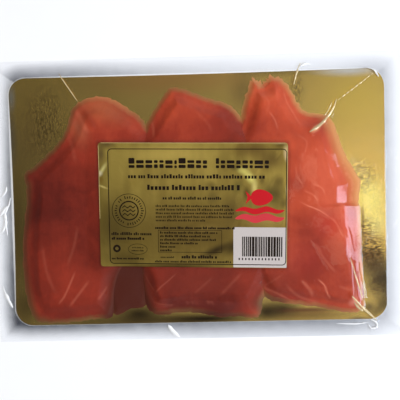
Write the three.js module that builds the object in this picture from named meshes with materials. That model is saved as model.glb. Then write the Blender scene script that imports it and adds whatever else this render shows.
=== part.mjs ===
// A vacuum pack of smoked salmon, lying flat. A clear pouch is drawn tight over a stiff card that
// carries three overlapping portions of sliced fish, and a label is stuck on top of the film.
// The pouch with all that is sealed in it is one solid, and the label is another.
// Units are millimetres and +Z is up. The origin is on the table, under the middle of the card.

import * as THREE from "three";

// Sizes of the pieces.
const POUCH = { width: 294, depth: 204, sealThickness: 0.6 };
const CARD = { width: 270, depth: 180, corner: 13, filmHeight: 1.6 };
const LABEL = { width: 133, depth: 88, thickness: 0.3, clearance: 0.3, restHeight: 7.2, cornerInset: 0.8 };

// Corners of the label seen from above. It lies a little askew.
const LABEL_CORNERS = {
  lowerLeft: [-69.5, -46.5],
  lowerRight: [62.1, -50.7],
  upperRight: [64.8, 37.6],
  upperLeft: [-69.1, 41.3],
};

// The portions of fish: outlines seen from above, the thickness of the thin slice that shows along
// the edge, and the full thickness of the stack inside it.
const PORTIONS = {
  left: {
    edgeThickness: 2.2,
    fullThickness: 5.2,
    outline: [
      [-84, 71], [-77, 74], [-69, 75], [-61, 73.5], [-54, 70], [-47, 65], [-40, 60], [-35, 53],
      [-29, 42], [-27, 15], [-32, -15], [-45, -38], [-55, -52], [-59, -64], [-61, -76], [-65, -85],
      [-76, -86], [-87, -87.5], [-99, -88.5], [-110, -88.5], [-119, -87], [-123.5, -80],
      [-126, -71], [-127.5, -58], [-128, -38], [-126.5, -18], [-124, 0], [-124, 12],
      [-125, 20.5], [-117, 26.5], [-109, 33.5], [-101, 41], [-95, 49], [-91.5, 58], [-89, 66],
    ],
  },
  middle: {
    edgeThickness: 2.2,
    fullThickness: 5.8,
    outline: [
      [-20.5, 77], [-17, 80], [-9, 79], [0, 75.5], [10, 71.5], [20, 68.5], [27, 64.5], [32, 58.5],
      [42, 48], [50, 20], [53, -15], [55, -45], [52, -62], [46, -74], [43.5, -85], [38, -87.5],
      [27, -86], [15, -86.5], [4, -84], [-6, -82.5], [-17, -82.5], [-28, -84], [-36, -81],
      [-41, -72], [-43, -58], [-44, -44], [-46, -15], [-47, 15], [-43, 38], [-36, 53], [-31, 62],
      [-25, 71],
    ],
  },
  right: {
    edgeThickness: 2.4,
    fullThickness: 5.8,
    outline: [
      [33, 60], [35.5, 70], [38.5, 78], [41, 84.5], [45, 83], [49, 81], [53, 85.5], [60, 85],
      [66, 80], [70, 73], [74, 65.5], [78, 60.5], [86, 58.5], [94, 57], [99, 50.5], [102.5, 40],
      [106.5, 29], [112, 19], [117, 9], [115.5, -2], [116.4, -14], [117, -38], [117.6, -58],
      [119, -75], [117, -82.5], [110, -85], [99, -83.5], [86, -80.5], [72, -78.5], [58, -76.5],
      [48, -73], [40, -62], [35, -42], [31, -10], [28, 20], [29, 45],
    ],
  },
  underlay: {
    edgeThickness: 1.6,
    fullThickness: 2.8,
    outline: [[-66, -30], [-38, -30], [-36, -55], [-39, -76], [-50, -79], [-64, -80]],
  },
};

// How the film passes from one level to the next: it leaves the table or the card a little before
// an edge (tent) and reaches the level of the piece a little inside it (shoulder).
const CARD_EDGE = { tent: 0.7, shoulder: 0.5 };
const FISH_EDGE = { tent: 1.8, shoulder: 4.5 };
const STACK_EDGE = { start: 3, end: 14 };
const VALLEY_BLEND = 1.4;

// The right portion's right side, where a flap of the lower slice reaches out past the stack: for
// some places along y, the depths inside the outline at which the stack starts and ends its rise,
// and the shares of their thickness that the slice beside it and the stack have there.
const RIGHT_SIDE = { start: 84, end: 98 };
const RIGHT_STACK = [
  { y: -84, start: 3, end: 14, slice: 1, stack: 1 },
  { y: -74, start: 3.5, end: 12, slice: 1, stack: 1 },
  { y: -66, start: 4.5, end: 9.5, slice: 1, stack: 1 },
  { y: -50, start: 4.5, end: 9.5, slice: 1, stack: 1 },
  { y: -42, start: 3, end: 14, slice: 1, stack: 1 },
  { y: -7.6, start: 3, end: 14, slice: 1, stack: 1 },
  { y: -6.4, start: 6.8, end: 18.8, slice: 0.5, stack: 0.7 },
  { y: 5, start: 7.2, end: 19, slice: 0.5, stack: 0.64 },
  { y: 12, start: 7.1, end: 18.9, slice: 0.5, stack: 0.65 },
  { y: 19, start: 6.3, end: 17.3, slice: 0.6, stack: 0.66 },
  { y: 29, start: 4.3, end: 15.1, slice: 0.9, stack: 0.66 },
  { y: 40, start: 3, end: 14, slice: 1, stack: 0.68 },
  { y: 75, start: 3, end: 14, slice: 1, stack: 1 },
];

// The fish is uneven: two crossing swells, each with its length in mm and its height.
const SWELLS = [
  { along: [1, 0.35], length: 61, height: 0.3, phase: 0.6 },
  { along: [-0.45, 1], length: 43, height: 0.24, phase: 2.1 },
];

// Folds in the film that run in from the corners and from the upper edge.
const FOLD = { height: 0.6, halfWidth: 3.6 };
const FOLD_PATHS = [
  [[-97, 91], [-84, 72], [-73, 53]],
  [[127, 87], [101, 66], [95, 55], [82, 45]],
  [[127, -92], [117, -82.5], [108, -70]],
  [[75, 92], [70, 79]],
];

// The label's sheet is not quite flat: it dips into the gap between two portions along its lower
// edge, and rises a little to both sides of a slight bend across it.
const LABEL_DIP = { x: -50, halfWidth: 20, depth: 1.2, upperEnd: 10, lowerEnd: -50 };
const LABEL_BEND = { x: 9, risePerMm: 0.009 };
const LABEL_BLEND = { inner: 2, outer: 11 };

// Spacing of the surface's points.
const FILM_STEP = 3.55;
const SEAL_ROWS = 3;
const LABEL_STEP = 5;
const CURVE_STEPS = 4;

// Smooth step from 0 at start to 1 at end.
function ease(start, end, value) {
  return THREE.MathUtils.smoothstep(value, start, end);
}

// The larger of two values, with the change from one to the other rounded off.
function blendedMax(a, b, softness) {
  const mix = THREE.MathUtils.clamp(0.5 + (0.5 * (a - b)) / softness, 0, 1);
  return THREE.MathUtils.lerp(b, a, mix) + softness * mix * (1 - mix);
}

function closedCurve(points) {
  const knots = points.map(([x, y]) => new THREE.Vector3(x, y, 0));
  const curve = new THREE.CatmullRomCurve3(knots, true, "catmullrom", 0.5);
  return curve.getPoints(points.length * CURVE_STEPS).map((point) => [point.x, point.y]);
}

function distanceToSegment(x, y, [ax, ay], [bx, by]) {
  const dx = bx - ax;
  const dy = by - ay;
  const along = THREE.MathUtils.clamp(((x - ax) * dx + (y - ay) * dy) / (dx * dx + dy * dy), 0, 1);
  return Math.hypot(x - ax - along * dx, y - ay - along * dy);
}

function distanceToPath(x, y, path) {
  const distances = path.slice(1).map((end, index) => distanceToSegment(x, y, path[index], end));
  return Math.min(...distances);
}

// Distance to a closed path, positive inside it.
function depthInside(x, y, path) {
  let inside = false;
  path.slice(1).forEach(([bx, by], index) => {
    const [ax, ay] = path[index];
    const crosses = (ay > y) !== (by > y) && x < ((bx - ax) * (y - ay)) / (by - ay) + ax;
    inside = crosses ? !inside : inside;
  });
  return distanceToPath(x, y, path) * (inside ? 1 : -1);
}

// Distance to the rim of a rectangle with round corners, positive inside it.
function depthInsideCard(x, y) {
  const overX = Math.abs(x) - CARD.width / 2 + CARD.corner;
  const overY = Math.abs(y) - CARD.depth / 2 + CARD.corner;
  const outside = Math.hypot(Math.max(overX, 0), Math.max(overY, 0));
  return CARD.corner - outside - Math.min(Math.max(overX, overY), 0);
}

const portionShapes = Object.values(PORTIONS).map((portion) => ({
  ...portion,
  path: closedCurve(portion.outline),
}));

function swell(x, y) {
  const waves = SWELLS.map(({ along, length, height, phase }) => {
    const distance = (x * along[0] + y * along[1]) / Math.hypot(...along);
    return height * Math.sin((2 * Math.PI * distance) / length + phase);
  });
  return waves.reduce((sum, wave) => sum + wave, 0);
}

// A value of the right side's table at a place along y.
function rightStackValue(key, y) {
  const next = RIGHT_STACK.findIndex((row) => row.y >= y);
  if (next <= 0) return RIGHT_STACK.at(next)[key];
  const [before, after] = RIGHT_STACK.slice(next - 1, next + 1);
  return THREE.MathUtils.mapLinear(y, before.y, after.y, before[key], after[key]);
}

// How the stack rises at a place: as everywhere else, or as the table says near the right side.
function stackEdgeAt(x, y) {
  const common = { ...STACK_EDGE, slice: 1, stack: 1 };
  const side = ease(RIGHT_SIDE.start, RIGHT_SIDE.end, x);
  const values = Object.entries(common).map(([key, value]) =>
    [key, THREE.MathUtils.lerp(value, rightStackValue(key, y), side)]);
  return Object.fromEntries(values);
}

// How far one portion lifts the film off the card.
function portionRise(portion, x, y) {
  const depth = depthInside(x, y, portion.path);
  const edge = stackEdgeAt(x, y);
  const rise = ease(edge.start, edge.end, depth);
  const slice = ease(-FISH_EDGE.tent, FISH_EDGE.shoulder, depth) * THREE.MathUtils.lerp(edge.slice, 1, rise);
  const stackThickness = portion.fullThickness - portion.edgeThickness + swell(x, y);
  return portion.edgeThickness * slice + stackThickness * edge.stack * rise;
}

function foldRise(x, y) {
  const rises = FOLD_PATHS.map((path) => 1 - ease(0, FOLD.halfWidth, distanceToPath(x, y, path)));
  return FOLD.height * Math.max(...rises);
}

// Place of a point of the label, with u along its width and v up its depth, both from 0 to 1.
function labelPlan(u, v) {
  const { lowerLeft, lowerRight, upperRight, upperLeft } = LABEL_CORNERS;
  return [0, 1].map((axis) => {
    const lower = THREE.MathUtils.lerp(lowerLeft[axis], lowerRight[axis], u);
    const upper = THREE.MathUtils.lerp(upperLeft[axis], upperRight[axis], u);
    return THREE.MathUtils.lerp(lower, upper, v);
  });
}

const labelRim = [labelPlan(0, 0), labelPlan(1, 0), labelPlan(1, 1), labelPlan(0, 1), labelPlan(0, 0)];

// Height of the film where the label rests on it.
function labelRest(x, y) {
  const acrossDip = 1 - ease(0, LABEL_DIP.halfWidth, Math.abs(x - LABEL_DIP.x));
  const downDip = 1 - ease(LABEL_DIP.lowerEnd, LABEL_DIP.upperEnd, y);
  const bend = LABEL_BEND.risePerMm * Math.abs(x - LABEL_BEND.x);
  return LABEL.restHeight + bend - LABEL_DIP.depth * acrossDip * downDip;
}

// Height of the film's upper face over a point of the table.
function filmHeight(x, y) {
  const onCard = ease(-CARD_EDGE.tent, CARD_EDGE.shoulder, depthInsideCard(x, y));
  const base = THREE.MathUtils.lerp(POUCH.sealThickness, CARD.filmHeight, onCard);
  const fish = portionShapes.reduce(
    (rise, portion) => blendedMax(rise, portionRise(portion, x, y), VALLEY_BLEND), 0);
  const free = base + fish * onCard + foldRise(x, y);
  const underLabel = ease(-LABEL_BLEND.outer, LABEL_BLEND.inner, depthInside(x, y, labelRim));
  return THREE.MathUtils.lerp(free, labelRest(x, y), underLabel);
}

// Positions of grid lines over one side of the pouch: a few across each seal, then even steps
// across the card, so that a line falls on the card's edge.
function filmLines(pouchSize, cardSize) {
  const seal = (pouchSize - cardSize) / 2;
  const cardSteps = Math.round(cardSize / FILM_STEP);
  const lines = [];
  for (let row = 0; row < SEAL_ROWS; row += 1) {
    lines.push(-pouchSize / 2 + (seal * row) / SEAL_ROWS);
  }
  for (let row = 0; row <= cardSteps; row += 1) {
    lines.push(-cardSize / 2 + (cardSize * row) / cardSteps);
  }
  for (let row = 1; row <= SEAL_ROWS; row += 1) {
    lines.push(cardSize / 2 + (seal * row) / SEAL_ROWS);
  }
  return lines;
}

// Triangles of a grid of points stored row by row, facing up.
function gridFaces(columns, rows) {
  const faces = [];
  for (let row = 0; row < rows - 1; row += 1) {
    for (let column = 0; column < columns - 1; column += 1) {
      const corner = row * columns + column;
      faces.push([corner, corner + 1, corner + columns + 1]);
      faces.push([corner, corner + columns + 1, corner + columns]);
    }
  }
  return faces;
}

// Indices of the points round the rim of such a grid, counterclockwise from above.
function gridRim(columns, rows) {
  const rim = [];
  for (let column = 0; column < columns - 1; column += 1) rim.push(column);
  for (let row = 0; row < rows - 1; row += 1) rim.push(row * columns + columns - 1);
  for (let column = columns - 1; column > 0; column -= 1) rim.push((rows - 1) * columns + column);
  for (let row = rows - 1; row > 0; row -= 1) rim.push(row * columns);
  return rim;
}

// The wall between an upper rim and a lower one.
function wallFaces(upperRim, lowerRim) {
  return upperRim.flatMap((upper, index) => {
    const next = (index + 1) % upperRim.length;
    return [
      [upper, lowerRim[index], lowerRim[next]],
      [upper, lowerRim[next], upperRim[next]],
    ];
  });
}

function namedMesh(name, points, faces, material) {
  const geometry = new THREE.BufferGeometry();
  geometry.setAttribute("position", new THREE.Float32BufferAttribute(points.flat(), 3));
  geometry.setIndex(faces.flat());
  geometry.computeVertexNormals();
  const mesh = new THREE.Mesh(geometry, material);
  mesh.name = name;
  return mesh;
}

// The pouch: its draped upper face, the wall of the seal, and a flat underside.
function makeBag() {
  const xs = filmLines(POUCH.width, CARD.width);
  const ys = filmLines(POUCH.depth, CARD.depth);
  const upper = ys.flatMap((y) => xs.map((x) => [x, y, filmHeight(x, y)]));
  const rim = gridRim(xs.length, ys.length);
  const lower = rim.map((index) => [upper[index][0], upper[index][1], 0]);
  const lowerRim = rim.map((_, index) => upper.length + index);
  const hub = upper.length + lower.length;
  const hubPoint = [CARD.width / 10, CARD.depth / 10, 0];
  const underside = lowerRim.map((index, place) => {
    const next = lowerRim[(place + 1) % lowerRim.length];
    return [hub, next, index];
  });
  const faces = [...gridFaces(xs.length, ys.length), ...wallFaces(rim, lowerRim), ...underside];
  const material = new THREE.MeshStandardMaterial({ color: 0xa8442e, roughness: 0.12, metalness: 0 });
  return namedMesh("bag", [...upper, ...lower, hubPoint], faces, material);
}

// Points of one face of the label, at a height above the film.
function labelFace(columns, rows, heightAboveFilm) {
  const points = [];
  for (let row = 0; row < rows; row += 1) {
    for (let column = 0; column < columns; column += 1) {
      const atCorner = column % (columns - 1) === 0 && row % (rows - 1) === 0;
      const inset = atCorner ? LABEL.cornerInset : 0;
      const u = THREE.MathUtils.clamp(column / (columns - 1), inset / LABEL.width, 1 - inset / LABEL.width);
      const v = THREE.MathUtils.clamp(row / (rows - 1), inset / LABEL.depth, 1 - inset / LABEL.depth);
      const [x, y] = labelPlan(u, v);
      points.push([x, y, filmHeight(x, y) + heightAboveFilm]);
    }
  }
  return points;
}

// The label: a thin sheet that follows the film.
function makeLabel() {
  const columns = Math.round(LABEL.width / LABEL_STEP) + 1;
  const rows = Math.round(LABEL.depth / LABEL_STEP) + 1;
  const upper = labelFace(columns, rows, LABEL.clearance + LABEL.thickness);
  const lower = labelFace(columns, rows, LABEL.clearance);
  const upperFaces = gridFaces(columns, rows);
  const lowerFaces = upperFaces.map(([a, b, c]) => [a + upper.length, c + upper.length, b + upper.length]);
  const rim = gridRim(columns, rows);
  const walls = wallFaces(rim, rim.map((index) => index + upper.length));
  const material = new THREE.MeshStandardMaterial({ color: 0x9a8237, roughness: 0.3, metalness: 0.7 });
  return namedMesh("label", [...upper, ...lower], [...upperFaces, ...lowerFaces, ...walls], material);
}

const group = new THREE.Group();
group.add(makeBag(), makeLabel());

export default group;
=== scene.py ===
"""A vacuum pack of smoked salmon: clear film over a gold card and three portions of sliced fish.

Plan positions and heights are in millimetres, as in the part's source, and become metres when a
mesh is made. +X is to the right of the label's text, +Y to its top, and +Z up.
"""

import math

import bpy
import numpy as np
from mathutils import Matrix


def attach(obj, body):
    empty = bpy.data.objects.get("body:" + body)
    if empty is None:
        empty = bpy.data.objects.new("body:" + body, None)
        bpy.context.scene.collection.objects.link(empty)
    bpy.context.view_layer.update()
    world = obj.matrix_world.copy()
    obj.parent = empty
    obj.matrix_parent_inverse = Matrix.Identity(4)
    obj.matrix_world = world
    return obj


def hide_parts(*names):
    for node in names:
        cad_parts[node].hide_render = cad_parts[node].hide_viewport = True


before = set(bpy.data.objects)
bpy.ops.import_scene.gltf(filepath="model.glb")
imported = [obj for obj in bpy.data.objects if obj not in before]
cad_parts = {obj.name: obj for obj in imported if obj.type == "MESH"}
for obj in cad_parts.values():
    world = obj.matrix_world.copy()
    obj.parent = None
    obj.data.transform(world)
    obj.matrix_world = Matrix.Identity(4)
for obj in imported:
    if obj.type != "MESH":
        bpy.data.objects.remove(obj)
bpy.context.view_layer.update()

MM = 0.001
FISH_SEED = 5
FOLD_SEED = 11
PRINT_SEED = 7


def points(text):
    """Plan points from a line of x y pairs."""
    return np.array(text.split(), float).reshape(-1, 2)


def rows(text):
    """A list of numbers for each line of a table."""
    return [[float(word) for word in line.split()] for line in text.strip().splitlines()]


def paths(text):
    """Each line of a table as two values and then a path: x y pairs, separated by two spaces."""
    return [(*row[:2], np.reshape(row[2:], (-1, 2))) for row in rows(text)]


# --- Sizes, as in the part's source ---

POUCH_SIZE = (294.0, 204.0)
SEAL_HEIGHT = 0.6
CARD_SIZE = (270.0, 180.0)
CARD_CORNER = 13.0
CARD_UNDERSIDE = 0.25
CARD_FACE = 1.45
CARD_FILM_HEIGHT = 1.6
CARD_TENT = 0.7
CARD_SHOULDER = 0.5

FISH_TENT = 1.8
FISH_SHOULDER = 4.5
STACK_START = 3.0
STACK_END = 14.0
VALLEY_BLEND = 1.4

PORTIONS = {
    "left": {"edge": 2.2, "full": 5.2, "outline": points("""
        -84 71  -77 74  -69 75  -61 73.5  -54 70  -47 65  -40 60  -35 53  -29 42  -27 15  -32 -15
        -45 -38  -55 -52  -59 -64  -61 -76  -65 -85  -76 -86  -87 -87.5  -99 -88.5  -110 -88.5
        -119 -87  -123.5 -80  -126 -71  -127.5 -58  -128 -38  -126.5 -18  -124 0  -124 12  -125 20.5
        -117 26.5  -109 33.5  -101 41  -95 49  -91.5 58  -89 66""")},
    "middle": {"edge": 2.2, "full": 5.8, "outline": points("""
        -20.5 77  -17 80  -9 79  0 75.5  10 71.5  20 68.5  27 64.5  32 58.5  42 48  50 20  53 -15
        55 -45  52 -62  46 -74  43.5 -85  38 -87.5  27 -86  15 -86.5  4 -84  -6 -82.5  -17 -82.5
        -28 -84  -36 -81  -41 -72  -43 -58  -44 -44  -46 -15  -47 15  -43 38  -36 53  -31 62  -25 71""")},
    "right": {"edge": 2.4, "full": 5.8, "outline": points("""
        33 60  35.5 70  38.5 78  41 84.5  45 83  49 81  53 85.5  60 85  66 80  70 73  74 65.5
        78 60.5  86 58.5  94 57  99 50.5  102.5 40  106.5 29  112 19  117 9  115.5 -2  116.4 -14
        117 -38  117.6 -58  119 -75  117 -82.5  110 -85  99 -83.5  86 -80.5  72 -78.5  58 -76.5
        48 -73  40 -62  35 -42  31 -10  28 20  29 45""")},
    "underlay": {"edge": 1.6, "full": 2.8, "outline": points("""
        -66 -30  -38 -30  -36 -55  -39 -76  -50 -79  -64 -80""")},
}

# How the stack rises along the right side, where a flap of the lower slice reaches out past it.
# The rows are y, the depths at which the stack begins and is full, the thickness of the slice
# beside it, and that of the stack.
RIGHT_STACK = rows("""
    -84 -74 -66 -50 -42 -7.6 -6.4    5   12   19   29   40 75
      3 3.5 4.5 4.5   3    3  6.8  7.2  7.1  6.3  4.3    3  3
     14  12 9.5 9.5  14   14 18.8   19 18.9 17.3 15.1   14 14
      1   1   1   1   1    1  0.5  0.5  0.5  0.6  0.9    1  1
      1   1   1   1   1    1  0.7 0.64 0.65 0.66 0.66 0.68  1""")
RIGHT_SIDE = (84.0, 98.0)

# Swells of the fish: direction, length, height and phase.
SWELLS = [(1, 0.35, 61, 0.3, 0.6), (-0.45, 1, 43, 0.24, 2.1)]

# The wide folds that the part's source has.
WIDE_FOLD_HEIGHT = 0.6
WIDE_FOLD_HALF_WIDTH = 3.6
WIDE_FOLDS = [points("-97 91  -84 72  -73 53"),
              points("127 87  101 66  95 55  82 45"),
              points("127 -92  117 -82.5  108 -70"),
              points("75 92  70 79")]

LABEL_SIZE = (133.0, 88.0)
LABEL_LOWER_LEFT = (-69.5, -46.5)
LABEL_LOWER_RIGHT = (62.1, -50.7)
LABEL_UPPER_RIGHT = (64.8, 37.6)
LABEL_UPPER_LEFT = (-69.1, 41.3)
LABEL_REST = 7.2
LABEL_DIP = {"x": -50.0, "half_width": 20.0, "depth": 1.2, "upper": 10.0, "lower": -50.0}
LABEL_BEND_X = 9.0
LABEL_BEND_RISE = 0.009
LABEL_BLEND = (-11.0, 2.0)

# --- Fine relief of the film, which the part's source leaves out ---

# Slight wrinkles that fan out from the label and over the portions: height, half width, path.
WRINKLES = paths("""
    0.22 1.6  50 -60  58 -66  67 -74
    0.2 1.6  50 -60  40 -63  31 -71
    0.25 1.5  48 -60  47.5 -68  46 -77
    0.15 1.4  50 -60  49 -55  50 -51
    0.12 1.5  30 -52  25 -58  20 -66
    0.16 1.2  -20 -55  -25 -60  -31 -64
    0.1 1.8  8 -58  3 -63  -3 -68
    0.16 1.3  -37 -58  -34 -68  -28 -77
    0.15 1.5  72 -61  77 -69  82 -75
    0.22 1.1  80 -60  84 -66  90 -75
    0.14 1.6  79 -32  86 -46  93 -57
    0.14 1.2  72 -8  84 -13  92 -17  98 -24
    0.16 1.5  -90 -52  -95 -62  -100 -70
    0.14 1.7  -83 -62  -90 -69  -94 -74
    0.14 1.2  -66 -62  -72 -67
    0.15 1.2  46 60  49 55  47 48
    0.14 1.8  62 43  72 42  79 41
    0.35 2.6  106 -24  109 -36  112.5 -50  116 -64  118.5 -74""")

# --- Plane geometry ---


def ease(start, end, value):
    """Smooth step from 0 at start to 1 at end."""
    share = np.clip((value - start) / (end - start), 0.0, 1.0)
    return share * share * (3.0 - 2.0 * share)


def mix(a, b, share):
    return a + (b - a) * share


def blended_max(a, b, softness):
    """The larger of two values, with the change from one to the other rounded off."""
    share = np.clip(0.5 + 0.5 * (a - b) / softness, 0.0, 1.0)
    return mix(b, a, share) + softness * share * (1.0 - share)


def spline(before, here, after, beyond, share):
    """Where a smooth line through four knots is at a share of the way from the second to the third."""
    return 0.5 * (2 * here + (after - before) * share
                  + (2 * before - 5 * here + 4 * after - beyond) * share ** 2
                  + (3 * here - before - 3 * after + beyond) * share ** 3)


def closed_curve(knots, steps=4):
    """A smooth closed line through the knots, without the repeated last point."""
    before, after, beyond = (np.roll(knots, shift, axis=0) for shift in (1, -1, -2))
    parts = [spline(before, knots, after, beyond, step / steps) for step in range(steps)]
    return np.stack(parts, axis=1).reshape(-1, 2)


def open_curve(knots, step):
    """A smooth line through the knots, with a point about every step."""
    knots = np.vstack([2 * knots[0] - knots[1], knots, 2 * knots[-1] - knots[-2]])
    parts = []
    for before, here, after, beyond in zip(knots, knots[1:], knots[2:], knots[3:]):
        count = max(1, round(math.dist(here, after) / step))
        parts.append(spline(before, here, after, beyond, (np.arange(count) / count)[:, None]))
    return np.vstack(parts + [knots[-2:-1]])


def closed(outline):
    """An outline with its first point repeated at its end."""
    return np.vstack([outline, outline[:1]])


def leftward(along):
    """Unit vectors to the left of a line's directions."""
    along = along / np.linalg.norm(along, axis=1)[:, None]
    return np.column_stack([-along[:, 1], along[:, 0]])


def inward(outline):
    """Unit vectors from an outline's points into it."""
    return leftward(np.roll(outline, -1, axis=0) - np.roll(outline, 1, axis=0))


def distance_to_path(x, y, path):
    """Distance of points to an open path."""
    nearest = np.full(x.shape, np.inf)
    for (ax, ay), (bx, by) in zip(path[:-1], path[1:]):
        dx, dy = bx - ax, by - ay
        along = np.clip(((x - ax) * dx + (y - ay) * dy) / (dx * dx + dy * dy), 0.0, 1.0)
        nearest = np.minimum(nearest, np.hypot(x - ax - along * dx, y - ay - along * dy))
    return nearest


def depth_inside(x, y, outline):
    """Distance of points to a closed outline, positive inside it."""
    path = closed(outline)
    inside = np.zeros(x.shape, bool)
    for (ax, ay), (bx, by) in zip(path[:-1], path[1:]):
        if ay == by:
            continue
        inside ^= ((ay > y) != (by > y)) & (x < (bx - ax) * (y - ay) / (by - ay) + ax)
    return distance_to_path(x, y, path) * np.where(inside, 1.0, -1.0)


def corner_arcs(low, high, radius, steps):
    """The round corners of a rectangle, counterclockwise, each with the one that follows it."""
    arcs = []
    for quarter, upper in enumerate([(1, 0), (1, 1), (0, 1), (0, 0)]):
        centre = np.where(upper, high - radius, low + radius)
        turn = math.pi / 2 * (quarter - 1 + np.arange(steps + 1) / steps)
        arcs.append(centre + radius * np.column_stack([np.cos(turn), np.sin(turn)]))
    return list(zip(arcs, arcs[1:] + arcs[:1]))


def depth_inside_card(x, y):
    """Distance of points to the card's rim, positive inside it."""
    over_x = np.abs(x) - CARD_SIZE[0] / 2 + CARD_CORNER
    over_y = np.abs(y) - CARD_SIZE[1] / 2 + CARD_CORNER
    outside = np.hypot(np.maximum(over_x, 0), np.maximum(over_y, 0))
    return CARD_CORNER - outside - np.minimum(np.maximum(over_x, over_y), 0)


OUTLINES = {name: closed_curve(portion["outline"]) for name, portion in PORTIONS.items()}


def label_plan(across, up):
    """Plan position of a point of the label, given in millimetres from its lower left corner."""
    u = across / LABEL_SIZE[0]
    v = up / LABEL_SIZE[1]
    corners = (LABEL_LOWER_LEFT, LABEL_LOWER_RIGHT, LABEL_UPPER_LEFT, LABEL_UPPER_RIGHT)
    return [mix(mix(ll, lr, u), mix(ul, ur, u), v) for ll, lr, ul, ur in zip(*corners)]


LABEL_OUTLINE = np.array([label_plan(0, 0), label_plan(LABEL_SIZE[0], 0),
                          label_plan(*LABEL_SIZE), label_plan(0, LABEL_SIZE[1])])


def waves(x, y, table):
    """Waves over the plan, added up: direction, length, height and phase of each."""
    total = 0.0
    for along_x, along_y, length, height, phase in table:
        distance = (x * along_x + y * along_y) / math.hypot(along_x, along_y)
        total = total + height * np.sin(2 * math.pi * distance / length + phase)
    return total


def nearness(x, y, path, reach):
    """1 on a path, falling softly to 0 at a reach from it."""
    return 1.0 - ease(0.0, reach, distance_to_path(x, y, path))


def bell(x, y, centre_x, centre_y, spread):
    """1 at a centre, falling off round it like a bell."""
    return np.exp(-((x - centre_x) ** 2 + (y - centre_y) ** 2) / (2 * spread ** 2))


def portion_rise(name, x, y):
    """How far one portion lifts the film off the card."""
    depth = depth_inside(x, y, OUTLINES[name])
    portion = PORTIONS[name]
    levels, starts, ends, slices, fulls = RIGHT_STACK
    side = ease(*RIGHT_SIDE, x)
    start = mix(STACK_START, np.interp(y, levels, starts), side)
    end = mix(STACK_END, np.interp(y, levels, ends), side)
    stack = ease(start, end, depth)
    beside = mix(1.0, np.interp(y, levels, slices), side)
    edge = portion["edge"] * ease(-FISH_TENT, FISH_SHOULDER, depth) * mix(beside, 1.0, stack)
    full = mix(1.0, np.interp(y, levels, fulls), side)
    return edge + (portion["full"] - portion["edge"] + waves(x, y, SWELLS)) * full * stack


def label_rest(x, y):
    """Height of the film where the label rests on it."""
    across = 1.0 - ease(0.0, LABEL_DIP["half_width"], np.abs(x - LABEL_DIP["x"]))
    down = 1.0 - ease(LABEL_DIP["lower"], LABEL_DIP["upper"], y)
    bend = LABEL_BEND_RISE * np.abs(x - LABEL_BEND_X)
    return LABEL_REST + bend - LABEL_DIP["depth"] * across * down


def under_label(x, y):
    """1 where the label covers the film, falling to 0 a little outside it."""
    return ease(*LABEL_BLEND, depth_inside(x, y, LABEL_OUTLINE))


def film_level(x, y):
    """Height of the film without its sharp creases."""
    on_card = ease(-CARD_TENT, CARD_SHOULDER, depth_inside_card(x, y))
    base = mix(SEAL_HEIGHT, CARD_FILM_HEIGHT, on_card)
    fish = np.zeros(x.shape)
    for name in PORTIONS:
        fish = blended_max(fish, portion_rise(name, x, y), VALLEY_BLEND)
    wide = np.max([WIDE_FOLD_HEIGHT * nearness(x, y, path, WIDE_FOLD_HALF_WIDTH)
                   for path in WIDE_FOLDS], axis=0)
    return mix(base + fish * on_card + wide, label_rest(x, y), under_label(x, y))


def film_wrinkles(x, y):
    """Height that the wrinkles add, away from the label."""
    rises = [height * nearness(x, y, path, half_width) for height, half_width, path in WRINKLES]
    return np.max(rises, axis=0) * (1.0 - under_label(x, y))


# --- Meshes ---

SHARP_ANGLE = 55.0


def make_object(name, vertices, faces, *materials, smooth=True):
    """A mesh object from points in millimetres, riding on the pack's only body."""
    mesh = bpy.data.meshes.new(name)
    places = (np.asarray(vertices, float) * MM).tolist()
    mesh.from_pydata(places, [], [tuple(int(i) for i in face) for face in faces])
    mesh.update()
    if smooth:
        mesh.shade_smooth()
        mesh.set_sharp_from_angle(angle=math.radians(SHARP_ANGLE))
    for material in materials:
        mesh.materials.append(material)
    piece = bpy.data.objects.new(name, mesh)
    bpy.context.scene.collection.objects.link(piece)
    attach(piece, "root")
    return piece


def plan_of(piece):
    """Plan position of a mesh's points, in millimetres."""
    values = np.zeros(len(piece.data.vertices) * 3)
    piece.data.vertices.foreach_get("co", values)
    x, y, _ = values.reshape(-1, 3).T
    return x / MM, y / MM


def grid_faces(columns, rows, start=0, flipped=False):
    """Quads of a grid whose points lie row by row, counterclockwise from above."""
    corner = (np.arange(rows - 1)[:, None] * columns + np.arange(columns - 1)[None, :]).ravel() + start
    quads = np.stack([corner, corner + 1, corner + columns + 1, corner + columns], axis=1)
    return quads[:, ::-1] if flipped else quads


def grid_rim(columns, rows):
    """Indices round a grid's rim, counterclockwise from above."""
    index = np.arange(rows * columns).reshape(rows, columns)
    return np.concatenate([index[0, :-1], index[:-1, -1], index[-1, :0:-1], index[:0:-1, 0]]).tolist()


def wall_faces(upper_rim, lower_rim):
    """Quads between two closed rims."""
    following_upper = upper_rim[1:] + upper_rim[:1]
    following_lower = lower_rim[1:] + lower_rim[:1]
    return list(zip(upper_rim, lower_rim, following_lower, following_upper))


def fan_faces(rim, hub, flipped=False):
    """Triangles between a closed rim and a hub."""
    fan = [(here, following, hub) for here, following in zip(rim, rim[1:] + rim[:1])]
    return [face[::-1] for face in fan] if flipped else fan


def sheet_faces(columns, rows):
    """The closed faces of two grids, the second of them under the first."""
    size = columns * rows
    rim = grid_rim(columns, rows)
    both = [grid_faces(columns, rows), grid_faces(columns, rows, size, flipped=True)]
    return np.vstack(both).tolist() + wall_faces(rim, [index + size for index in rim])


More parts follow.
